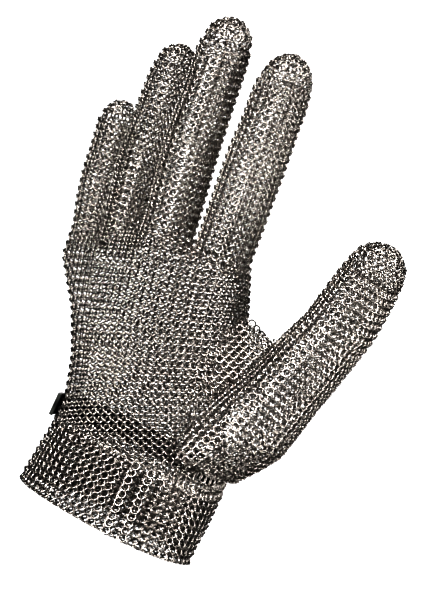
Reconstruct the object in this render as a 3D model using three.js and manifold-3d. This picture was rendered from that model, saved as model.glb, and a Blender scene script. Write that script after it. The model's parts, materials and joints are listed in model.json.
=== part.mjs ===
// A cut resistant glove of stainless steel ring mesh, for the right hand, with a folded cuff and a
// wrist strap. Millimetres, +Z up. The cuff's edge lies in the plane Z = 0 with the wrist opening's
// middle at the origin, the palm faces -Y and the thumb is on the +X side. Fingers point up.
//
// The mesh is one supple skin of small linked rings. Here it is a set of thin hollow shells: the
// mesh over each bone of the hand is one shell, and a band of mesh joins two shells where they bend.

import * as THREE from 'three';
import { mergeVertices } from 'three/addons/utils/BufferGeometryUtils.js';
import Module from 'manifold-3d';

// ---- Driving dimensions ------------------------------------------------------------------------

const MESH = 1.8; // thickness of one layer of ring mesh
const GAP = 0.3; // between pieces that touch
const BACK = 2.2; // a bending band's half height on the outside of the bend
const FOLD = 0.8; // and on the inside of it, as a share of the finger's half depth
const THUMB_FOLD = 0.5; // the same on the thumb, which bends less
const ROOT_FOLD = 10; // and the drop of the palm's front edge under the knuckles

const CUFF = { height: 29, half: [41.5, 27], top: [40.6, 26.5], middle: 2 };
const HEM = { height: 4, bulge: 0.9 };

// The strap's outline outside the mesh and, where its ends are tucked in, inside it.
const STRAP = { low: 30, width: 9.4, thick: 1.4, x: 1.5, half: [42.1, 27.4], inside: [36.2, 21.2] };
// It covers the wrist behind a plane turned this much about Z and this far back, and outside the
// mesh no further out than this on the thumb's side. Each end goes through the mesh there and is
// sewn down inside, beyond this distance from the middle.
const STRAP_ENDS = { turn: 20, back: -1, outer: 31, little: 27, thumb: 24 };
// The free end lies this far clear of the strap: its free edge, where it lifts, where it is sewn,
// and the place and thickness of the keeper bar that goes round both.
const TAB = { from: -15, lift: 8.5, end: 17, clear: 3.4, keeper: 11, bar: 0.9, depth: 1.6 };
const STUD = { x: -7, base: 5.2, cap: 6.2, thick: 1.3 };

// The palm's outline at level sections: height, middle across, half width, middle depth, half depth.
const PALM = [
  { z: 29.3, x: 2, half: 40, y: 0, deep: 25.5 },
  { z: 40, x: 1, half: 39.6, y: 0, deep: 23.5 },
  { z: 55, x: -6.7, half: 38, y: 0.5, deep: 20.5 },
  { z: 72, x: -13.8, half: 41.8, y: 1.5, deep: 18 },
];
// The same for the two sections that rise towards the knuckle line.
const PALM_RISE = { from: 72, share: 0.5, x: -19, half: 45, y: 2.5, deep: 16 };
const PALM_TOP = { x: -29.5, half: 44, y: 4, deep: 13.8 };
const ARCH = -0.14; // how far the knuckle line falls back, per millimetre towards the little finger
// The knuckle line, from the little finger's side to the index finger's: across, height.
const KNUCKLES = [[-78, 96], [-67, 99], [-50.5, 106.5], [-28, 117], [-2, 118], [18, 112]];
const SQUARE = 2.6; // how square the palm's sections are; 2 is an ellipse

// Each finger: its root knuckle, the length of its three bones, how far each leans towards the thumb
// and curls towards the palm, in degrees, and its half width at the root, both joints and the tip.
const FINGERS = {
  index: {
    root: [-1.7, 0, 118], bones: [40, 26, 25.5], lean: [-5, -1.5, 0.5], curl: [2, 6, 10],
    half: [12.7, 13, 12.4, 10.6],
  },
  middle: {
    root: [-28.3, -2.5, 117], bones: [40.5, 29, 27], lean: [-8.5, -2, 1.5], curl: [5, 8, 12],
    half: [11.8, 12.4, 11.9, 10.6],
  },
  ring: {
    root: [-50.1, 0.5, 106.5], bones: [37, 26, 24.5], lean: [-12, -3, -3], curl: [-2, 1, 5],
    half: [9.7, 10.9, 10.7, 9.6],
  },
  little: {
    root: [-69.1, 10.5, 99], bones: [27.5, 18, 17.5], lean: [-17, -10, -9], curl: [-4, 0, 3],
    half: [8.7, 9.7, 9.3, 8.4],
  },
};
const DEPTH = 1.04; // a finger's depth over its width

// The thumb: the same, with its three joints as points, and the way its back faces.
const THUMB = {
  points: [[47.5, -9.5, 64], [58.5, -13, 92], [69, -16, 120], [74.6, -18, 156.5]],
  half: [17.5, 15.4, 14, 12.2], back: [0.55, 0.83, 0],
};
const THENAR = { from: [18, -3, 34], half: [21, 17], low: 40.5 }; // the thumb's base, in the palm
// The fold of mesh between thumb and index finger, as an outline in the XZ plane, with its Y range.
const WEB = {
  outline: [[8, 62], [24, 104], [30, 101.2], [37, 99], [46, 99.5], [58, 104], [50, 62]],
  y: [-10, -3],
};

const ROUND = 16; // flat faces round a finger
const PALM_ROUND = 36; // and round the palm and cuff
const FAR = 400; // beyond the glove on every side

// ---- Solids ------------------------------------------------------------------------------------

const wasm = await Module();
wasm.setup();

const vec = (x, y, z) => new THREE.Vector3(x, y, z);
const rad = THREE.MathUtils.degToRad;

// A geometry from rows of points; each row closes on itself, and a row of one point ends a fan.
function skin(rows, joined) {
  const points = rows.flat();
  const start = [];
  rows.reduce((n, row) => { start.push(n); return n + row.length; }, 0);
  const faces = [];
  const steps = joined ? rows.length : rows.length - 1;
  for (let r = 0; r < steps; r += 1) {
    const next = (r + 1) % rows.length;
    const [a, b] = [rows[r], rows[next]];
    const n = Math.max(a.length, b.length);
    for (let i = 0; i < n; i += 1) {
      const j = (i + 1) % n;
      const [a0, a1] = a.length > 1 ? [start[r] + i, start[r] + j] : [start[r], start[r]];
      const [b0, b1] = b.length > 1 ? [start[next] + i, start[next] + j] : [start[next], start[next]];
      if (a.length > 1) faces.push([a0, a1, b1]);
      if (b.length > 1) faces.push([a0, b1, b0]);
    }
  }
  const volume = faces.reduce((sum, [a, b, c]) => (
    sum + points[a].dot(vec(0, 0, 0).crossVectors(points[b], points[c]))), 0);
  const geometry = new THREE.BufferGeometry();
  geometry.setAttribute('position', new THREE.Float32BufferAttribute(
    points.flatMap((p) => [p.x, p.y, p.z]), 3));
  geometry.setIndex(faces.flatMap(([a, b, c]) => (volume > 0 ? [a, b, c] : [a, c, b])));
  return geometry;
}

// A point round a section: across along u, deep along v, on an ellipse or a squarer oval.
function round(section, angle, inset) {
  const power = 2 / (section.square ?? 2);
  const bend = (s) => Math.sign(s) * Math.abs(s) ** power;
  return section.at.clone()
    .addScaledVector(section.u, (section.half[0] - inset) * bend(Math.cos(angle)))
    .addScaledVector(section.v, (section.half[1] - inset) * bend(Math.sin(angle)));
}

// One row of points of a section. rise(point, angle) says how far each moves along the section's d.
function row(section, sides, inset) {
  return Array.from({ length: sides }, (_, i) => {
    const angle = (2 * Math.PI * i) / sides;
    const point = round(section, angle, inset);
    return section.rise ? point.addScaledVector(section.d, section.rise(point, angle)) : point;
  });
}

// A tube with a wall, open at both ends, through its sections.
function tube(sections, sides, wall = MESH) {
  const outer = sections.map((s) => row(s, sides, 0));
  const inner = sections.map((s) => row(s, sides, wall)).reverse();
  return skin([...outer, ...inner], true);
}

// A solid through its sections, or through its hollow if inset is the wall.
function plug(sections, sides, inset = 0) {
  const rows = sections.map((s) => row(s, sides, inset));
  return skin([[sections[0].at.clone()], ...rows, [sections.at(-1).at.clone()]], false);
}

const solid = (geometry) => {
  const bare = geometry.clone();
  bare.deleteAttribute('normal');
  bare.deleteAttribute('uv');
  const merged = mergeVertices(bare, 1e-4);
  return new wasm.Manifold(new wasm.Mesh({
    numProp: 3,
    vertProperties: Float32Array.from(merged.attributes.position.array),
    triVerts: Uint32Array.from(merged.index.array),
  }));
};

const geometryOf = (manifold) => {
  const mesh = manifold.getMesh();
  const geometry = new THREE.BufferGeometry();
  geometry.setAttribute('position', new THREE.BufferAttribute(mesh.vertProperties, 3));
  geometry.setIndex(new THREE.BufferAttribute(mesh.triVerts, 1));
  return geometry;
};

const block = (x0, x1, y0, y1, z0, z1) => solid(
  new THREE.BoxGeometry(x1 - x0, y1 - y0, z1 - z0)
    .translate((x0 + x1) / 2, (y0 + y1) / 2, (z0 + z1) / 2));

// ---- Scene -------------------------------------------------------------------------------------

const glove = new THREE.Group();
const steel = { color: 0xb4b1ac, roughness: 0.38, metalness: 1 };
const webbing = { color: 0x1c201c, roughness: 0.9, metalness: 0 };
const polished = { color: 0xd2d0cc, roughness: 0.22, metalness: 1 };

function add(name, geometry, look) {
  const mesh = new THREE.Mesh(geometry, new THREE.MeshStandardMaterial(look));
  mesh.name = name;
  glove.add(mesh);
}

// ---- Cuff --------------------------------------------------------------------------------------

const upright = { u: vec(1, 0, 0), v: vec(0, 1, 0), d: vec(0, 0, 1) };
const level = (x, z, half, y = 0, square = 2.2) => ({ ...upright, at: vec(x, y, z), half, square });
const grown = (half, by) => half.map((h) => h + by);

function cuff() {
  const { height, half, top, middle } = CUFF;
  const layer = (by) => [
    level(0, HEM.height + GAP, grown(half, by)),
    level(middle / 2, height / 2, grown(half, by)),
    level(middle, height - GAP, grown(top, by)),
  ];
  add('cuff_outer', tube(layer(0), PALM_ROUND), steel);
  add('cuff_lining', tube(layer(-MESH - GAP), PALM_ROUND), steel);
  const rolled = [0, 1, 2, 3].map((i) => {
    const share = i / 3;
    return level(0, HEM.height * share, grown(half, HEM.bulge * Math.sin(Math.PI * share)));
  });
  add('cuff_hem', tube(rolled, PALM_ROUND, 2 * MESH + GAP), steel);
}

// ---- Palm and back -----------------------------------------------------------------------------

function knuckleHeight(x) {
  const after = KNUCKLES.findIndex(([at]) => at >= x);
  if (after < 0) return KNUCKLES.at(-1)[1];
  if (after === 0) return KNUCKLES[0][1];
  const [[x0, z0], [x1, z1]] = [KNUCKLES[after - 1], KNUCKLES[after]];
  return z0 + ((z1 - z0) * (x - x0)) / (x1 - x0);
}

// The height of the palm's upper edge: under the knuckle line, and lower in front than behind.
function palmEdge(x, y) {
  const middle = PALM_TOP.y + ARCH * (x - PALM_TOP.x);
  const behind = THREE.MathUtils.clamp((y - middle) / PALM_TOP.deep, -1, 1);
  return knuckleHeight(x) - (ROOT_FOLD + BACK) / 2 + (behind * (ROOT_FOLD - BACK)) / 2;
}

function palmSections(grow = 0) {
  const oval = ({ z, x, half, y, deep }) => (
    level(x, z, grown([half, deep], grow), y, SQUARE));
  const rising = { ...oval({ ...PALM_RISE, z: PALM_RISE.from }), u: vec(1, ARCH / 2, 0).normalize() };
  rising.rise = (p) => (palmEdge(p.x, p.y) - PALM_RISE.from) * PALM_RISE.share;
  const top = { ...oval({ ...PALM_TOP, z: 0 }), u: vec(1, ARCH, 0).normalize() };
  top.rise = (p) => palmEdge(p.x, p.y);
  return [...PALM.map(oval), rising, top];
}

// ---- Fingers and thumb -------------------------------------------------------------------------

// A bone's frame: d along it, u along the hinge at its root, v towards its back.
function frame(d, back) {
  const u = vec(0, 0, 0).crossVectors(back, d).normalize();
  return { u, v: vec(0, 0, 0).crossVectors(d, u).normalize(), d };
}

// The edge of a shell at a joint: side -1 ends the shell before it, +1 starts the one after.
function edge(joint, bone, half, fold, side, inward = 0) {
  const inside = fold * half[1];
  const middle = (inside + BACK) / 2;
  const swing = (BACK - inside) / 2;
  return {
    ...bone, at: joint, half,
    rise: (_, angle) => side * (middle + swing * Math.sin(angle) - inward),
  };
}

const girth = (half, scale = DEPTH) => [half, half * scale];

// The joints and bones of a digit: one point more than there are bones.
function digitOf(points, back, halves, fold) {
  const bones = points.slice(1).map((p, i) => {
    const way = p.clone().sub(points[i]);
    return { length: way.length(), ...frame(way.normalize(), back) };
  });
  return { points, bones, halves, fold };
}

function finger({ root, bones, lean, curl, half }) {
  const points = [vec(...root)];
  bones.forEach((length, i) => {
    const [side, fold] = [rad(lean[i]), rad(curl[i])];
    const way = vec(Math.sin(side) * Math.cos(fold), -Math.sin(fold), Math.cos(side) * Math.cos(fold));
    points.push(points[i].clone().addScaledVector(way, length));
  });
  return digitOf(points, vec(0, 1, 0), half, FOLD);
}

const along = (digit, i, share) => digit.points[i].clone().lerp(digit.points[i + 1], share);
const halfAt = (digit, i, share) => THREE.MathUtils.lerp(digit.halves[i], digit.halves[i + 1], share);

// The shell over one bone. The last one ends in a round tip.
function stall(digit, i) {
  const bone = digit.bones[i];
  const start = edge(digit.points[i], bone, girth(digit.halves[i]), digit.fold, 1);
  const middle = { ...bone, at: along(digit, i, 0.5), half: girth(halfAt(digit, i, 0.5)) };
  if (i < digit.bones.length - 1) {
    const end = edge(digit.points[i + 1], bone, girth(digit.halves[i + 1]), digit.fold, -1);
    return tube([start, middle, end], ROUND);
  }
  return capped([start, middle], digit, bone);
}

function capped(sections, digit, bone) {
  const tip = digit.points.at(-1);
  const half = digit.halves.at(-1);
  const dome = (inset) => [0, 30, 60, 80].map((turn) => ({
    ...bone,
    at: tip.clone().addScaledVector(bone.d, (half - inset) * Math.sin(rad(turn)) - half),
    half: girth((half - inset) * Math.cos(rad(turn))),
  }));
  const peak = (inset) => [tip.clone().addScaledVector(bone.d, -inset)];
  const outer = [...sections.map((s) => row(s, ROUND, 0)), ...dome(0).map((s) => row(s, ROUND, 0))];
  const inner = [...dome(MESH).map((s) => row(s, ROUND, 0)).reverse(),
    ...sections.map((s) => row(s, ROUND, MESH)).reverse()];
  return skin([...outer, peak(0), peak(MESH), ...inner], true);
}

// The band of mesh round joint i, between the shells of the bones before and after it.
function band(digit, i, before = digit.bones[i - 1]) {
  const half = girth(digit.halves[i]);
  return tube([
    edge(digit.points[i], before, half, digit.fold, -1, GAP),
    { ...digit.bones[i], at: digit.points[i], half },
    edge(digit.points[i], digit.bones[i], half, digit.fold, 1, GAP),
  ], ROUND);
}

// The band at a finger's root stands on the palm's upper edge.
function rootSections(digit, grow = 0) {
  const half = grown(girth(digit.halves[0]), grow);
  const foot = { ...upright, at: digit.points[0].clone().setZ(0), half };
  foot.rise = (p) => palmEdge(p.x, p.y) + GAP;
  return [
    foot,
    { ...digit.bones[0], at: digit.points[0], half },
    edge(digit.points[0], digit.bones[0], half, digit.fold, 1, GAP),
  ];
}

// Where two roots meet in a web, the later one is cut back to clear the one before it.
function rootBand(digit, before) {
  const own = tube(rootSections(digit), ROUND);
  return before ? geometryOf(solid(own).subtract(before)) : own;
}

function digits() {
  const joints = ['root', 'knuckle', 'end'];
  const bones = ['lower', 'middle', 'tip'];
  const shells = (name, digit) => bones.forEach((bone, i) => (
    add(`${name}_${bone}`, stall(digit, i), steel)));
  let before;
  for (const [name, size] of Object.entries(FINGERS)) {
    const digit = finger(size);
    shells(name, digit);
    add(`${name}_${joints[0]}_band`, rootBand(digit, before), steel);
    before = solid(plug(rootSections(digit, GAP), ROUND));
    add(`${name}_${joints[1]}_band`, band(digit, 1), steel);
    add(`${name}_${joints[2]}_band`, band(digit, 2), steel);
  }
  shells('thumb', thumb);
  add(`thumb_${joints[1]}_band`, band(thumb, 1), steel);
  add(`thumb_${joints[2]}_band`, band(thumb, 2), steel);
}


// ---- Thumb base and web ------------------------------------------------------------------------

const thumbBack = vec(...THUMB.back).normalize();
const thumb = digitOf(THUMB.points.map((p) => vec(...p)), thumbBack, THUMB.half, THUMB_FOLD);
const thenarAt = vec(...THENAR.from);
const thumbBase = frame(thumb.points[0].clone().sub(thenarAt).normalize(), thumbBack);

function thenarSections(grow = 0) {
  return [
    { ...thumbBase, at: thenarAt, half: grown(THENAR.half, grow) },
    edge(thumb.points[0], thumbBase, grown(girth(thumb.halves[0]), grow), THUMB_FOLD, -1),
  ];
}

// The thumb's whole outer form up to its middle joint, a little grown, to cut what it must clear.
function thumbClearance() {
  const sections = thumb.points.slice(0, 3).map((at, i) => (
    { ...thumb.bones[i], at, half: grown(girth(thumb.halves[i]), 5 * GAP) }));
  const fold = edge(thumb.points[0], thumbBase, sections[0].half, THUMB_FOLD, -1);
  return solid(plug(sections, ROUND))
    .add(solid(plug(thenarSections(5 * GAP), ROUND)))
    .add(solid(plug([fold, sections[0]], ROUND)));
}

const palmGrown = solid(plug(palmSections(GAP), PALM_ROUND));

function thumbBasePieces() {
  const sleeve = solid(tube(thenarSections(), ROUND)).subtract(palmGrown)
    .subtract(block(-FAR, FAR, -FAR, FAR, -FAR, THENAR.low));
  add('thumb_gusset', geometryOf(sleeve), steel);
  const root = solid(band(thumb, 0, thumbBase)).subtract(palmGrown);
  add('thumb_root_band', geometryOf(root), steel);
}

// The fold between thumb and index finger: two layers of mesh lying together.
function web() {
  const outline = new THREE.Shape(WEB.outline.map(([x, z]) => new THREE.Vector2(x, z)));
  const [front, back] = WEB.y;
  const fold = new THREE.ExtrudeGeometry(outline, { depth: back - front, bevelEnabled: false });
  fold.rotateX(Math.PI / 2).translate(0, back, 0);
  const piece = solid(fold).subtract(palmGrown).subtract(thumbClearance());
  const largest = piece.decompose().sort((a, b) => b.volume() - a.volume())[0];
  add('thumb_web', geometryOf(largest), steel);
}

// The palm's shell opens into the thumb's base, and is made as a front and a back panel.
function palm() {
  const bore = solid(plug(thenarSections(-MESH), ROUND));
  const shell = solid(tube(palmSections(), PALM_ROUND)).subtract(bore);
  const seam = PALM_TOP.y / 2;
  const panels = {
    palm_panel: block(-FAR, FAR, -FAR, seam - GAP / 2, -FAR, FAR),
    back_panel: block(-FAR, FAR, seam + GAP / 2, FAR, -FAR, FAR),
  };
  for (const [name, side] of Object.entries(panels)) {
    const piece = shell.intersect(side).decompose().sort((a, b) => b.volume() - a.volume())[0];
    add(name, geometryOf(piece), steel);
  }
}

// ---- Wrist strap -------------------------------------------------------------------------------

function strap() {
  const { low, width, thick, x, half, inside } = STRAP;
  const hoop = (size) => solid(tube(
    [low, low + width].map((z) => level(x, z, size, 0, SQUARE)), PALM_ROUND, thick));
  const behind = block(-FAR, FAR, STRAP_ENDS.back, FAR, -FAR, FAR).rotate([0, 0, STRAP_ENDS.turn]);
  const tucked = hoop(inside).intersect(behind);
  const littleEnd = tucked.intersect(block(-FAR, -STRAP_ENDS.little, -FAR, FAR, -FAR, FAR));
  const thumbEnd = tucked.intersect(block(STRAP_ENDS.thumb, FAR, -FAR, FAR, -FAR, FAR));
  const outside = behind.intersect(block(-FAR, STRAP_ENDS.outer, -FAR, FAR, -FAR, FAR));
  add('strap_back', geometryOf(hoop(half).intersect(outside)), webbing);
  add('strap_little_end', geometryOf(littleEnd), webbing);
  add('strap_thumb_end', geometryOf(thumbEnd), webbing);

  const middle = low + width / 2;
  const back = half[1];
  const inner = back + TAB.clear;
  const outer = inner + thick;
  const plate = (x0, x1, y0, y1, by = 0) => new THREE.BoxGeometry(x1 - x0, y1 - y0, width + 2 * by)
    .translate((x0 + x1) / 2, (y0 + y1) / 2, middle);
  add('strap_tab', plate(TAB.from, TAB.lift, inner, outer), webbing);
  add('strap_fold', plate(TAB.lift + GAP, TAB.end, inner, outer), webbing);
  const hole = solid(plate(-FAR, FAR, 0, outer + GAP, GAP));
  const frame = solid(plate(TAB.keeper, TAB.keeper + TAB.bar * 3, back - TAB.depth,
    outer + GAP + TAB.bar, GAP + TAB.bar));
  add('strap_keeper', geometryOf(frame.subtract(hole)), polished);

  const disc = new THREE.CylinderGeometry(STUD.base, STUD.base, TAB.clear - 2 * GAP, 24)
    .translate(STUD.x, back + TAB.clear / 2, middle);
  add('stud_base', disc, polished);
  const dome = [[0, 0], [1, 0], [1, 0.5], [0.8, 1], [0, 1.15]]
    .map(([r, h]) => new THREE.Vector2(r * STUD.cap, h * STUD.thick));
  add('stud_cap', new THREE.LatheGeometry(dome, 24).translate(STUD.x, outer + GAP, middle), polished);
}

cuff();
palm();
thumbBasePieces();
web();
digits();
strap();

export default glove;
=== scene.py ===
"""A right-hand cut resistant glove of stainless steel ring mesh, with a folded cuff and a wrist strap.

Every ring of the mesh is a torus of its own, and passes through its neighbours. The rings are laid
in columns over smooth forms made from the CAD nodes, region by region, so the skin follows the frame.
"""
import json
import math

import bmesh
import bpy
import numpy as np
from mathutils import Matrix, Vector
from mathutils.bvhtree import BVHTree
from mathutils.kdtree import KDTree


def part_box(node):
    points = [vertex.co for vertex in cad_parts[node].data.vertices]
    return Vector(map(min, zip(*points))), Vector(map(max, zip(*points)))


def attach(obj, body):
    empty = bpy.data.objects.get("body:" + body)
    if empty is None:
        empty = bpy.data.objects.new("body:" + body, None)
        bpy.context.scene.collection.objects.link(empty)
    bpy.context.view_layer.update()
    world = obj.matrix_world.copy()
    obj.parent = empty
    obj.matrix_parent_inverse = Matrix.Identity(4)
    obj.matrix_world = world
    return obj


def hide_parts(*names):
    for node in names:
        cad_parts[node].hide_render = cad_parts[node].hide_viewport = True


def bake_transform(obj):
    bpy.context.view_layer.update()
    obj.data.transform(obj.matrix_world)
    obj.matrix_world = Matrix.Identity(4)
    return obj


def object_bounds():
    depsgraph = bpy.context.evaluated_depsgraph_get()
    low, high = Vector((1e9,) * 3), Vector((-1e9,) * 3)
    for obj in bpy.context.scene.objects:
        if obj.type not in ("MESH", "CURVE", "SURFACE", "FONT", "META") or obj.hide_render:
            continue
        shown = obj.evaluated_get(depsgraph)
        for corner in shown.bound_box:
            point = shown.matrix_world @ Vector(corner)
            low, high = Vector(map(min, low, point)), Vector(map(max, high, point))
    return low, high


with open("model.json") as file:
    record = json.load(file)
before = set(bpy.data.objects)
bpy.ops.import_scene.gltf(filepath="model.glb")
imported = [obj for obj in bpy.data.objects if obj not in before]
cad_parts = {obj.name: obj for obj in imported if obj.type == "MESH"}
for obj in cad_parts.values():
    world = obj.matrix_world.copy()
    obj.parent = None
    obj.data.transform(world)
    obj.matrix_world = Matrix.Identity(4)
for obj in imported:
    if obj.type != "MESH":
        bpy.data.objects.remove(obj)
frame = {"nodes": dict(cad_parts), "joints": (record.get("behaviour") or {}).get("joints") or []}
cad_low, cad_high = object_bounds()

# ---- Sizes, in metres --------------------------------------------------------------------------
MM = 0.001
RING = 1.66 * MM           # mean radius of a ring
WIRE = 0.27 * MM           # radius of its wire
ALONG = 3.4 * MM           # from one ring to the next in a column
ACROSS = 1.94 * MM         # from one column to the next
LEAN = math.radians(21)    # how far the main columns' rings lie over, lower edge outwards
STEEP = math.radians(29)   # and the other way, the rings of the columns between, which link them
TURNS, SIDES = 14, 5       # flat faces round a ring and round its wire
CROWD = 0.18               # how much closer columns lie on the back, and wider in front
INSET = 0.8 * MM           # from a form's surface to the middle of its layer of rings
CLOSEST = 1.75 * MM        # between rings of two regions that meet
LOOSE, LOOSE_TURN = 0.03 * MM, math.radians(2)    # how far rings stray from the even lattice
FAR = 0.1                  # longer than any ray needs to be

VOXEL = 1.4 * MM           # of the forms that rays are cast at
PALM_LEVELS = [0.029, 0.0402, 0.0553, 0.0725, 0.2]    # heights between which the palm is one hull

DIGIT_BEFORE, THUMB_BEFORE = 18 * MM, 34 * MM    # how far below its root joint a digit's mesh starts
TIP_ROUND, TUBE_ROUND = 0.93, 0.97    # the mesh's radius, of half the width of a CAD tip or tube
TUBE_REACH = 1.7           # of a tube's half width, how far rays look for it
CREASE_X, CREASE_Z, CREASE_SLOPE = 30 * MM, 40 * MM, 0.13    # the line where palm and thumb meet
PALM_COLUMNS, PALM_FOOT = 128, 29 * MM
PALM_START, PALM_BOW = -14 * MM, 4 * MM          # along its middle line, and how far that line bows
PALM_BANDS = [0.02, 0.058, 0.085, 0.2]           # heights at which the palm's mesh is split

WEB_ACROSS, WEB_ALONG = 1.55 * MM, 2.9 * MM      # the spacing in the gathered web of the thumb
WEB_PROUD = 0.35 * MM      # how far its rings' middles stand out of each face of the thin web

CUFF_COLUMNS, CUFF_ALONG, CUFF_TALL, CUFF_LOW = 118, 3.2 * MM, 29 * MM, 1.7 * MM
HEM_TURN = 1.25 * MM       # radius of the fold at the wrist opening
PLEAT_X, PLEAT_WIDE, PLEAT_DEEP, PLEAT_COLUMNS = 20 * MM, 8 * MM, 2.2 * MM, 4

FINGERS = ("index", "middle", "ring", "little")
DIGITS = FINGERS + ("thumb",)
BONES = ("lower", "middle", "tip")
JOINTS = ("root", "knuckle", "end")
X, Y, Z = Vector((1, 0, 0)), Vector((0, 1, 0)), Vector((0, 0, 1))

VIEW = (math.radians(28), math.radians(5), math.radians(25))    # the camera's azimuth, elevation, roll
AWAY = 1.25                # from the camera to the glove
DOT = MM / 2.4             # one dot of the picture, at the glove
TALL = 600 * DOT           # what the picture's long side takes in
MIDDLE = (107 * DOT, 220 * DOT)      # its middle, right of and above the hem's
FACES = {"front": 1, "back": -1}    # the half of the glove that faces the camera, and the other half
OWN_SHARE = 0.6            # of the lamps' power that lights their own half alone
BACK_SHARE = 0.5           # how strong the lamps of the back half are
LAMP = 0.3                 # how wide a lamp is
LAMPS = {"key": (0.9, -0.45, 0.4, 19), "fill": (0.6, 1.0, -0.3, 13)}    # near, right, above; watts
ROOM_LIGHT = 0.02          # of the room round the steel
FLOOR_ROUND, FLOOR_LOW = 0.62, -0.22

rng = np.random.default_rng(7)


# ---- The smooth forms under the rings ----------------------------------------------------------
def corners(*nodes):
    """All vertices of some CAD nodes, as an array."""
    return np.array([v.co for n in nodes for v in frame["nodes"][n].data.vertices])


def add_hull(bm, points):
    verts = [bm.verts.new(p) for p in points]
    made = bmesh.ops.convex_hull(bm, input=verts)
    spare = {e for e in made["geom_interior"] + made["geom_unused"] if isinstance(e, bmesh.types.BMVert)}
    bmesh.ops.delete(bm, geom=list(spare), context="VERTS")


def hand_form(digits, web=False, palm=True, top=()):
    """A closed smooth skin round the palm, the cuff and these digits, as a BVH tree to cast rays at.
    The palm's hull takes in the nodes in top."""
    bm = bmesh.new()
    for digit in digits:
        for part in BONES + tuple(f"{j}_band" for j in JOINTS):
            add_hull(bm, corners(f"{digit}_{part}"))
    if "thumb" in digits:
        add_hull(bm, corners("thumb_gusset"))
    if palm:
        for node in ("cuff_outer", "cuff_hem"):
            add_hull(bm, corners(node))
        panels = corners("palm_panel", "back_panel")
        for low, high in zip(PALM_LEVELS, PALM_LEVELS[1:]):
            inside = panels[(panels[:, 2] > low - 1.2 * MM) & (panels[:, 2] < high)]
            if high == PALM_LEVELS[-1] and top:
                inside = np.vstack([inside, corners(*top)])
            add_hull(bm, inside)
    if web:
        bm.from_mesh(frame["nodes"]["thumb_web"].data)
    mesh = bpy.data.meshes.new("form")
    bm.to_mesh(mesh)
    bm.free()
    form = bpy.data.objects.new("form", mesh)
    bpy.context.scene.collection.objects.link(form)
    remesh = form.modifiers.new("skin", "REMESH")
    remesh.mode, remesh.voxel_size = "VOXEL", VOXEL
    smooth = form.modifiers.new("smooth", "SMOOTH")
    smooth.factor, smooth.iterations = 0.5, 10
    tree = BVHTree.FromObject(form, bpy.context.evaluated_depsgraph_get())
    bpy.data.objects.remove(form)
    bpy.data.meshes.remove(mesh)
    return tree


def within(form, point, depth):
    """True if a point lies more than this deep inside a form."""
    at, normal, _, _ = form.find_nearest(Vector(point))
    return (Vector(point) - at).dot(normal) < -depth


# ---- Ring lattice ------------------------------------------------------------------------------
class Rings:
    """A set of rings: middle, the way its column runs, the surface's normal, and which way it leans."""

    def __init__(self, rows=()):
        self.rows = list(rows)

    def add(self, at, along, normal, side, mark=0.0):
        self.rows.append((*at, *along, *normal, side, mark))

    def array(self):
        return np.array(self.rows).reshape(-1, 11)

    def where(self, test):
        return Rings([r for r in self.rows if test(r)])

    def thinned(self, kept):
        """Without the rings that come too close to one already kept, which this then adds to."""
        if kept:
            tree = KDTree(len(kept))
            for i, at in enumerate(kept):
                tree.insert(at, i)
            tree.balance()
            self.rows = [r for r in self.rows if tree.find(r[:3])[2] > CLOSEST]
        kept += [r[:3] for r in self.rows]
        return self


def hit(form, start, way, reach):
    at, normal, _, _ = form.ray_cast(start, way, reach)
    return (at, normal) if at is not None else None


def girdle(form, middle, u, v, reach, n=96):
    """The form's outline round a point in the plane of u and v, starting at the front (-v)."""
    loop = []
    for i in range(n):
        angle = 2 * math.pi * i / n - math.pi / 2
        found = hit(form, middle, u * math.cos(angle) + v * math.sin(angle), reach)
        loop.append(found)
    return loop


def spaced(loop, shares):
    """Points at these shares of the outline's length, with their normals; None where it is open."""
    points = np.array([p[0] if p else (np.nan,) * 3 for p in loop])
    points = np.vstack([points, points[:1]])
    normals = np.array([p[1] if p else (np.nan,) * 3 for p in loop])
    normals = np.vstack([normals, normals[:1]])
    steps = np.nan_to_num(np.linalg.norm(np.diff(points, axis=0), axis=1), nan=0.0)
    length = np.concatenate([[0], np.cumsum(steps)])
    out = []
    for share in shares:
        want = share % 1 * length[-1]
        i = min(np.searchsorted(length, want, side="right") - 1, len(steps) - 1)
        part = (want - length[i]) / max(steps[i], 1e-9)
        at = points[i] + (points[i + 1] - points[i]) * part
        normal = normals[i] + (normals[i + 1] - normals[i]) * part
        out.append(None if np.isnan(at).any() else (Vector(at), Vector(normal).normalized()))
    return out


class Path:
    """A smooth line through points, with a frame at each distance along it."""

    def __init__(self, points, back=Y):
        self.points = [Vector(p) for p in points]
        self.back = back
        lengths = [(b - a).length for a, b in zip(self.points, self.points[1:])]
        self.starts = np.concatenate([[0], np.cumsum(lengths)])
        self.length = float(self.starts[-1])

    def at(self, s):
        i = int(np.clip(np.searchsorted(self.starts, s, side="right") - 1, 0, len(self.points) - 2))
        a, b = self.points[i], self.points[i + 1]
        return a + (b - a) * ((s - self.starts[i]) / (b - a).length)

    def frame(self, s, reach=6 * MM):
        d = (self.at(s + reach) - self.at(s - reach)).normalized()
        u = self.back.cross(d).normalized()
        return u, d.cross(u).normalized(), d


def crowded(share):
    """A share of the way round from the middle of the front, moved so that columns crowd on the back."""
    return share + CROWD * math.sin(2 * math.pi * share) / (2 * math.pi)


def tube_rings(form, path, first, last, count, reach, keep):
    """Columns of rings round a path from first to last, count columns in all."""
    rings = Rings()
    for row in range(int((last - first) / (ALONG / 2)) + 1):
        s = first + row * ALONG / 2
        u, v, d = path.frame(s)
        loop = girdle(form, path.at(s), u, v, reach)
        shares = [crowded((2 * k + row % 2) / count) for k in range(count // 2)]
        for found in spaced(loop, shares):
            if found and keep(found[0]):
                at, normal = found
                way = (d - normal * d.dot(normal)).normalized()
                rings.add(at - normal * INSET, way, normal, 1 - 2 * (row % 2), s)
    return rings


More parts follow.
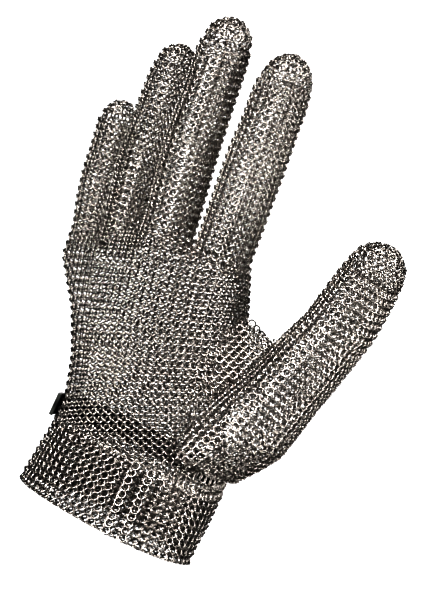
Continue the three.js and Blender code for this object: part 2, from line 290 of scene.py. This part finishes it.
def dome_rings(form, path, radius):
    """Rows of rings over a round fingertip, fewer in each row towards its end."""
    rings = Rings()
    middle = path.at(path.length - radius)
    u, v, d = path.frame(path.length - radius)
    rows = int(radius * math.pi / 2 / (ALONG / 2))
    for row in range(1, rows + 1):
        turn = row * ALONG / 2 / radius
        count = max(1, round(2 * math.pi * radius * math.cos(turn) / (2 * ACROSS)))
        for k in range(count):
            angle = 2 * math.pi * (k + row % 2 / 2) / count
            out = (u * math.cos(angle) + v * math.sin(angle)) * math.cos(turn) + d * math.sin(turn)
            found = hit(form, middle, out, FAR)
            if found:
                at, normal = found
                way = d - normal * d.dot(normal)
                way = way.normalized() if way.length > 0.2 else normal.cross(u).normalized()
                rings.add(at - normal * INSET, way, normal, 1 - 2 * (row % 2),
                          path.length - radius + radius * math.sin(turn))
    return rings


def faces(row, face):
    """True if a ring is on this half of the glove."""
    return (row[6] * math.sin(VIEW[0]) - row[7] * math.cos(VIEW[0])) * FACES[face] > 0


# ---- Ring meshes -------------------------------------------------------------------------------
def ring_mesh(name, rings):
    """One mesh of all these rings, each a closed torus that leans through those of the next columns."""
    data = rings.array()
    n = len(data)
    at, way, normal, side = data[:, 0:3], data[:, 3:6], data[:, 6:9], data[:, 9]
    lean = np.where(side > 0, -LEAN, STEEP) + rng.normal(0, LOOSE_TURN, n)
    roll = rng.normal(0, LOOSE_TURN, n)[:, None]
    at = at + rng.normal(0, LOOSE, (n, 3))
    across = np.cross(way, normal)
    way, across = way * np.cos(roll) + across * np.sin(roll), across * np.cos(roll) - way * np.sin(roll)
    up = way * np.cos(lean)[:, None] + normal * np.sin(lean)[:, None]
    axis = np.cross(across, up)
    a = np.arange(TURNS) * 2 * math.pi / TURNS
    b = np.arange(SIDES) * 2 * math.pi / SIDES
    spoke = (across[:, None, :] * np.cos(a)[None, :, None] + up[:, None, :] * np.sin(a)[None, :, None])
    reach = RING + WIRE * np.cos(b)
    points = (at[:, None, None, :] + spoke[:, :, None, :] * reach[None, None, :, None]
              + axis[:, None, None, :] * (WIRE * np.sin(b))[None, None, :, None])
    i, j = np.meshgrid(np.arange(TURNS), np.arange(SIDES), indexing="ij")
    i2, j2 = (i + 1) % TURNS, (j + 1) % SIDES
    quads = np.stack([i * SIDES + j, i2 * SIDES + j, i2 * SIDES + j2, i * SIDES + j2], -1).reshape(-1, 4)
    quads = (quads[None] + (np.arange(n) * TURNS * SIDES)[:, None, None]).reshape(-1, 4)
    mesh = bpy.data.meshes.new(name)
    mesh.vertices.add(n * TURNS * SIDES)
    mesh.vertices.foreach_set("co", points.astype(np.float32).ravel())
    mesh.loops.add(quads.size)
    mesh.loops.foreach_set("vertex_index", quads.astype(np.int32).ravel())
    mesh.polygons.add(len(quads))
    mesh.polygons.foreach_set("loop_start", np.arange(0, quads.size, 4, dtype=np.int32))
    mesh.polygons.foreach_set("use_smooth", np.ones(len(quads), dtype=bool))
    mesh.update()
    mesh.validate()
    return mesh


# what each half's lamps light: that half alone, and that half with the digits
own = {face: bpy.data.collections.new(f"own_{face}") for face in FACES}
shared = {face: bpy.data.collections.new(f"shared_{face}") for face in FACES}


def light_with(obj, lamps, digit=False):
    """Let these halves' lamps light a piece; a digit's piece gets part of the other half's too."""
    for face in lamps:
        own[face].objects.link(obj)
    for face in FACES if digit else lamps:
        shared[face].objects.link(obj)


def show(label, rings, face, turns=False):
    """A piece of the mesh: the rings of these that are on one half of the glove. A digit's piece
    is also lit by part of the other half's lamps."""
    name = f"{label}_{face}"
    mesh = ring_mesh(name, rings.where(lambda r: faces(r, face)))
    obj = bpy.data.objects.new(name, mesh)
    bpy.context.scene.collection.objects.link(obj)
    light_with(obj, [face], turns)
    mesh.materials.append(steel)
    return obj


# ---- Materials ---------------------------------------------------------------------------------
def blank(name, metallic):
    made = bpy.data.materials.new(name)
    made.use_nodes = True
    shader = made.node_tree.nodes["Principled BSDF"]
    shader.inputs["Metallic"].default_value = metallic
    return made, shader, made.node_tree.nodes, made.node_tree.links


def noise(nodes, links, per_metre, detail):
    place = nodes.new("ShaderNodeTexCoord")
    made = nodes.new("ShaderNodeTexNoise")
    made.inputs["Scale"].default_value = per_metre
    made.inputs["Detail"].default_value = detail
    links.new(place.outputs["Object"], made.inputs["Vector"])
    return made.outputs["Fac"]


def ramp(nodes, links, value, stops):
    made = nodes.new("ShaderNodeValToRGB")
    while len(made.color_ramp.elements) < len(stops):
        made.color_ramp.elements.new(0.5)
    for element, (at, color) in zip(made.color_ramp.elements, stops):
        element.position = at
        element.color = (*color, 1) if len(color) == 3 else (color[0],) * 3 + (1,)
    links.new(value, made.inputs["Fac"])
    return made.outputs["Color"]


def steel_material(name, dark, light, smooth, rough):
    """Worn stainless steel: its tone and gloss vary from ring to ring, with fine drawing marks."""
    made, shader, nodes, links = blank(name, 1.0)
    tone = noise(nodes, links, 420, 3)
    links.new(ramp(nodes, links, tone, [(0.35, dark), (0.65, light)]), shader.inputs["Base Color"])
    wear = noise(nodes, links, 900, 2)
    links.new(ramp(nodes, links, wear, [(0.3, (smooth,)), (0.7, (rough,))]), shader.inputs["Roughness"])
    return made


steel = steel_material("ring_steel", (0.46, 0.43, 0.405), (0.70, 0.665, 0.63), 0.26, 0.38)
polished = steel_material("stud_steel", (0.66, 0.65, 0.63), (0.78, 0.77, 0.75), 0.3, 0.42)


def webbing_material():
    """Black webbing woven of flat yarns: ribs across the strap, each broken up by the warp."""
    made, shader, nodes, links = blank("strap_webbing", 0.0)
    place = nodes.new("ShaderNodeTexCoord")
    waves = []
    for direction, per_metre in (("X", 1100), ("Z", 900)):
        wave = nodes.new("ShaderNodeTexWave")
        wave.wave_type, wave.bands_direction = "BANDS", direction
        wave.inputs["Scale"].default_value = per_metre / 20
        wave.inputs["Distortion"].default_value = 0.4
        links.new(place.outputs["Object"], wave.inputs["Vector"])
        waves.append(wave.outputs["Fac"])
    weave = nodes.new("ShaderNodeMath")
    weave.operation = "MULTIPLY"
    links.new(waves[0], weave.inputs[0])
    links.new(waves[1], weave.inputs[1])
    yarn = ramp(nodes, links, weave.outputs[0], [(0.0, (0.008, 0.009, 0.008)), (1.0, (0.06, 0.065, 0.058))])
    links.new(yarn, shader.inputs["Base Color"])
    shader.inputs["Roughness"].default_value = 0.8
    shader.inputs["Sheen Weight"].default_value = 0.15
    bump = nodes.new("ShaderNodeBump")
    bump.inputs["Strength"].default_value = 0.6
    bump.inputs["Distance"].default_value = 0.0002
    links.new(weave.outputs[0], bump.inputs["Height"])
    links.new(bump.outputs["Normal"], shader.inputs["Normal"])
    return made


webbing = webbing_material()


# ---- The glove ---------------------------------------------------------------------------------
joint = {j["name"]: j for j in frame["joints"]}


def pivot(digit, i):
    return Vector(joint[f"{digit}_{JOINTS[i]}_bend"]["pos_m"])


def digit_back(digit):
    """The way a digit's back faces: across its hinges and its length."""
    axis = Vector(joint[f"{digit}_root_bend"]["axis"])
    return (pivot(digit, 1) - pivot(digit, 0)).normalized().cross(axis).normalized()


def digit_path(digit, before):
    """A digit's middle line from a little before its root joint to its tip."""
    root, knuckle, end = (pivot(digit, i) for i in range(3))
    way = (knuckle - root).normalized()
    far = corners(f"{digit}_tip")
    last = far[np.argmax(far @ np.array((end - knuckle).normalized()))]
    return Path([root - way * before, root, knuckle, end, end + (Vector(last) - end)], digit_back(digit))


whole = hand_form(DIGITS, web=True)
flat_hand = hand_form((), top=[f"{f}_root_band" for f in FINGERS])
thumb_form = hand_form(["thumb"], palm=False)
kept = []    # the places of all rings so far, which rings of the next regions stay clear of
knuckle_line = sorted((pivot(f, 0).x, pivot(f, 0).z) for f in FINGERS)
knuckle_x, knuckle_z = zip(*knuckle_line)


def over_knuckles(p):
    """How far a point is above the line of the finger roots."""
    return p[2] - float(np.interp(p[0], knuckle_x, knuckle_z))


def beyond_thenar(p):
    """How far a point is on the thumb's side of the crease at the thumb's base."""
    return p[0] - (CREASE_X + (p[2] - CREASE_Z) * CREASE_SLOPE)


def on_thumb(p):
    return beyond_thenar(p) > -1.5 * MM and p[2] > 30 * MM


def on_finger(p):
    return over_knuckles(p) > -2 * MM


def on_palm(p):
    return (over_knuckles(p) < 3 * MM and beyond_thenar(p) < 7 * MM and p[2] > PALM_FOOT
            and not (beyond_thenar(p) > -1.5 * MM and within(thumb_form, p, 2.2 * MM)))


def digits():
    """Each digit's tube and its round tip, as a piece for each joint and each half of the glove."""
    for digit in DIGITS:
        before = THUMB_BEFORE if digit == "thumb" else DIGIT_BEFORE
        path = digit_path(digit, before)
        wide = np.ptp(corners(f"{digit}_middle")[:, 0]) / 2
        radius = np.ptp(corners(f"{digit}_tip")[:, 0]) / 2 * TIP_ROUND
        count = 2 * round(2 * math.pi * wide * TUBE_ROUND * (1 + CROWD) / ACROSS / 2)
        form = hand_form([digit])
        keep = on_thumb if digit == "thumb" else on_finger
        rings = tube_rings(form, path, 0, path.length - radius, count, wide * TUBE_REACH, keep)
        rings.rows += dome_rings(form, path, radius).rows
        rings.thinned(kept)
        cuts = [before + share for share in path_shares(path)]
        parts = ((-1, cuts[0]), (cuts[0], cuts[1]), (cuts[1], 9))
        for i, (low, high) in enumerate(parts):
            some = rings.where(lambda r: low <= r[10] < high)
            d = path.frame(path.starts[i + 1])[2]
            for face in FACES:
                obj = show(f"{digit}_{JOINTS[i]}_mesh", some, face, turns=True)
                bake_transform(obj)
                if face == "front":
                    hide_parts(f"{digit}_{JOINTS[i]}_band", f"{digit}_{BONES[i]}")
                if (digit, i, face) == ("thumb", 0, "front"):
                    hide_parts("thumb_gusset")


def path_shares(path):
    """Halfway along the lower and the middle bone, from the root joint."""
    lower, middle = path.starts[2] - path.starts[1], path.starts[3] - path.starts[2]
    return lower / 2, lower + middle / 2


def palm():
    """The palm and the back, as rows across a gently bent line from the cuff to the finger roots."""
    low = Vector((0, 0, PALM_FOOT))
    top = Vector((np.mean(knuckle_x) + 3 * MM, 3 * MM, np.mean(knuckle_z)))
    bend = (low + top) / 2 - X * PALM_BOW
    path = Path([low * (1 - t) ** 2 + bend * (2 * t * (1 - t)) + top * t ** 2
                 for t in np.linspace(0, 1.3, 14)])
    rings = tube_rings(flat_hand, path, PALM_START, path.length, PALM_COLUMNS, FAR, on_palm)
    rings.thinned(kept)
    for k, (a, b) in enumerate(zip(PALM_BANDS, PALM_BANDS[1:])):
        for face, node in (("front", "palm_panel"), ("back", "back_panel")):
            obj = show(f"palm_mesh_{k}", rings.where(lambda r: a <= r[2] < b), face)
            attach(obj, "glove")
            if k == 0:
                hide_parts(node)


def web():
    """The fold of mesh between thumb and palm."""
    rings = web_rings().thinned(kept)
    way = (pivot("thumb", 1) - pivot("thumb", 0)).normalized()
    inward = digit_back("thumb").cross(way).normalized()
    inward *= -1 if inward.x > 0 else 1
    for face in FACES:
        obj = show("thumb_web_mesh", rings, face)
        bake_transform(obj)
    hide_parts("thumb_web")


def web_rings():
    """The two faces of the fold of mesh between thumb and palm, and the rings along its free edge."""
    low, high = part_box("thumb_web")
    rings = Rings()
    way = pivot("thumb", 1) - pivot("thumb", 0)
    way = Vector((way.x, 0, way.z)).normalized()
    side = Vector((way.z, 0, -way.x))
    reach = (high - low).length / 2
    middle = (low + high) / 2
    steps = int(reach / WEB_ACROSS)
    for k in range(-steps, steps):
        for m in range(-steps, steps):
            for face in (-1, 1):
                shift = (face + 1) / 4
                flat = (middle + side * ((k + shift) * WEB_ACROSS)
                        + way * ((m + k % 2 / 2 + shift) * WEB_ALONG))
                start = Vector((flat.x, middle.y + face * FAR / 2, flat.z))
                found = hit(whole, start, Y * -face, FAR)
                if found is None or over_knuckles(found[0]) > 0 or beyond_thenar(found[0]) < -30 * MM:
                    continue
                at, normal = found
                if not low.x < at.x < high.x or not low.z < at.z < high.z + 2 * MM:
                    continue
                along = (way - normal * way.dot(normal)).normalized()
                rings.add(at + normal * WEB_PROUD, along, normal, 1 - 2 * (k % 2))
    start = middle - (X + Z) * 4 * MM
    last = None
    for i in range(90):
        angle = math.radians(i)
        found = hit(whole, start, X * math.cos(angle) + Z * math.sin(angle), FAR)
        if found is None or found[0].x > high.x + 3 * MM or found[0].z > high.z - 3.5 * MM:
            continue
        at, normal = found
        if last is not None and (at - last).length < WEB_ALONG / 2:
            continue
        along = (at - last).normalized() if last is not None else Z
        along = (along - normal * along.dot(normal)).normalized()
        rings.add(at - normal * INSET / 2, along, normal, 1 - 2 * (len(rings.rows) % 2))
        last = at
    return rings


def cuff():
    """The doubled cuff: down outside, round the hem and up again inside, as one run of columns."""
    rings = Rings()
    fold = math.pi * HEM_TURN
    for row in range(int((2 * CUFF_TALL + fold) / (CUFF_ALONG / 2))):
        t = row * CUFF_ALONG / 2
        if t < CUFF_TALL:
            inward, z, angle = 0.0, CUFF_LOW + CUFF_TALL - t, 0.0
        elif t < CUFF_TALL + fold:
            angle = (t - CUFF_TALL) / HEM_TURN
            inward, z = HEM_TURN * (1 - math.cos(angle)), CUFF_LOW - HEM_TURN * math.sin(angle)
        else:
            angle = math.pi
            inward, z = 2 * HEM_TURN, CUFF_LOW + t - CUFF_TALL - fold
        loop = girdle(whole_cuff, Vector((1.5 * MM, 0, max(z, 2 * MM))), X, Y, FAR)
        shares = [(2 * k + row % 2) / CUFF_COLUMNS for k in range(CUFF_COLUMNS // 2)]
        for k, found in enumerate(spaced(loop, shares)):
            at, normal = found
            out = Vector((normal.x, normal.y, 0)).normalized()
            at = Vector((at.x, at.y, z)) - out * (INSET + inward)
            at += out * pleat(at, (2 * k + row % 2) * ACROSS)
            face = out * math.cos(angle) - Z * math.sin(angle)
            way = Z * math.cos(angle) + out * math.sin(angle)
            rings.add(at, way, face, 1 - 2 * (row % 2), t)
    for layer in ("outer", "lining"):
        some = rings.where(lambda r: (r[10] < CUFF_TALL) == (layer == "outer"))
        for face in FACES:
            obj = show(f"cuff_{layer}_mesh", some, face)
            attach(obj, "glove")
            if face == "front":
                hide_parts(f"cuff_{layer}")
            elif layer == "outer":
                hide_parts("cuff_hem")


def pleat(at, around):
    """How far the gathers at the front of the cuff stand out here."""
    if at.y > 0:
        return 0.0
    near = math.exp(-(((at.x - PLEAT_X) / PLEAT_WIDE) ** 2))
    return PLEAT_DEEP * near * math.cos(2 * math.pi * around / (PLEAT_COLUMNS * ACROSS))


whole_cuff = hand_form([])
digits()
palm()
web()
cuff()
straps = [n for n in frame["nodes"] if n.startswith("strap_") and n != "strap_keeper"]
for node in straps + ["strap_keeper", "stud_base", "stud_cap"]:
    obj = frame["nodes"][node]
    obj.data.materials.clear()
    obj.data.materials.append(webbing if node in straps else polished)
    light_with(obj, FACES)


# ---- Studio ------------------------------------------------------------------------------------
def area_light(face, name, at, target, power):
    """A soft lamp for one half of the glove. A hand inside would keep its light off the other half."""
    for receivers, share in ((own[face], OWN_SHARE), (shared[face], 1 - OWN_SHARE)):
        light = bpy.data.lights.new(f"{name}_{receivers.name}", "AREA")
        light.energy, light.size = power * share, LAMP
        obj = bpy.data.objects.new(light.name, light)
        obj.light_linking.receiver_collection = receivers
        obj.location = at
        obj.rotation_euler = (Vector(target) - Vector(at)).to_track_quat("-Z", "Y").to_euler()
        bpy.context.scene.collection.objects.link(obj)


def studio():
    """The lamps, a room that is dark to the steel, and a white wall that only the camera sees."""
    across, up, back = camera_axes()
    target = (cad_low + cad_high) / 2
    for face, way in FACES.items():
        share = 1.0 if face == "front" else BACK_SHARE
        for name, (near, right, above, watts) in LAMPS.items():
            at = target + (back * near + across * right) * way + up * above
            area_light(face, name, at, target, watts * share)
    world = bpy.data.worlds.new("studio")
    world.use_nodes = True
    nodes, links = world.node_tree.nodes, world.node_tree.links
    room = nodes["Background"]
    room.inputs["Color"].default_value = (1, 1, 1, 1)
    room.inputs["Strength"].default_value = ROOM_LIGHT
    wall = nodes.new("ShaderNodeBackground")
    wall.inputs["Color"].default_value = (1, 1, 1, 1)
    wall.inputs["Strength"].default_value = 1.0
    seen, mix = nodes.new("ShaderNodeLightPath"), nodes.new("ShaderNodeMixShader")
    links.new(seen.outputs["Is Camera Ray"], mix.inputs["Fac"])
    links.new(room.outputs["Background"], mix.inputs[1])
    links.new(wall.outputs["Background"], mix.inputs[2])
    links.new(mix.outputs["Shader"], nodes["World Output"].inputs["Surface"])
    bpy.context.scene.world = world
    shown = bpy.context.scene.view_settings
    shown.view_transform, shown.look, shown.gamma = "Standard", "High Contrast", 0.62


def camera_axes():
    """The picture's right and up, and the way from the glove to the camera."""
    azimuth, elevation, roll = VIEW
    back = Vector((math.sin(azimuth) * math.cos(elevation), -math.cos(azimuth) * math.cos(elevation),
                   math.sin(elevation)))
    turn = (-back).to_track_quat("-Z", "Y").to_matrix() @ Matrix.Rotation(roll, 3, "Z")
    return turn @ X, turn @ Y, back


def camera():
    across, up, back = camera_axes()
    data = bpy.data.cameras.new("camera")
    cam = bpy.data.objects.new("camera", data)
    bpy.context.scene.collection.objects.link(cam)
    target = across * MIDDLE[0] + up * MIDDLE[1]
    turn = Matrix((across, up, back)).transposed()
    cam.matrix_world = Matrix.Translation(target + back * AWAY) @ turn.to_4x4()
    data.sensor_width = 36
    data.lens = data.sensor_width * AWAY / TALL
    bpy.context.scene.camera = cam


def floor():
    """A pale floor, well below the glove, which the camera's view passes over."""
    mesh = bpy.data.meshes.new("floor")
    bm = bmesh.new()
    bmesh.ops.create_circle(bm, cap_ends=True, segments=64, radius=FLOOR_ROUND)
    bm.to_mesh(mesh)
    bm.free()
    obj = bpy.data.objects.new("floor", mesh)
    obj.location = (0, 0, FLOOR_LOW)
    bpy.context.scene.collection.objects.link(obj)
    made, shader, nodes, links = blank("floor_paper", 0.0)
    grain = noise(nodes, links, 60, 4)
    links.new(ramp(nodes, links, grain, [(0.3, (0.84,)), (0.7, (0.88,))]), shader.inputs["Base Color"])
    shader.inputs["Roughness"].default_value = 0.9
    mesh.materials.append(made)
    light_with(obj, FACES)
    obj.visible_diffuse = obj.visible_glossy = False    # the room round the steel stays dark


studio()
floor()
camera()
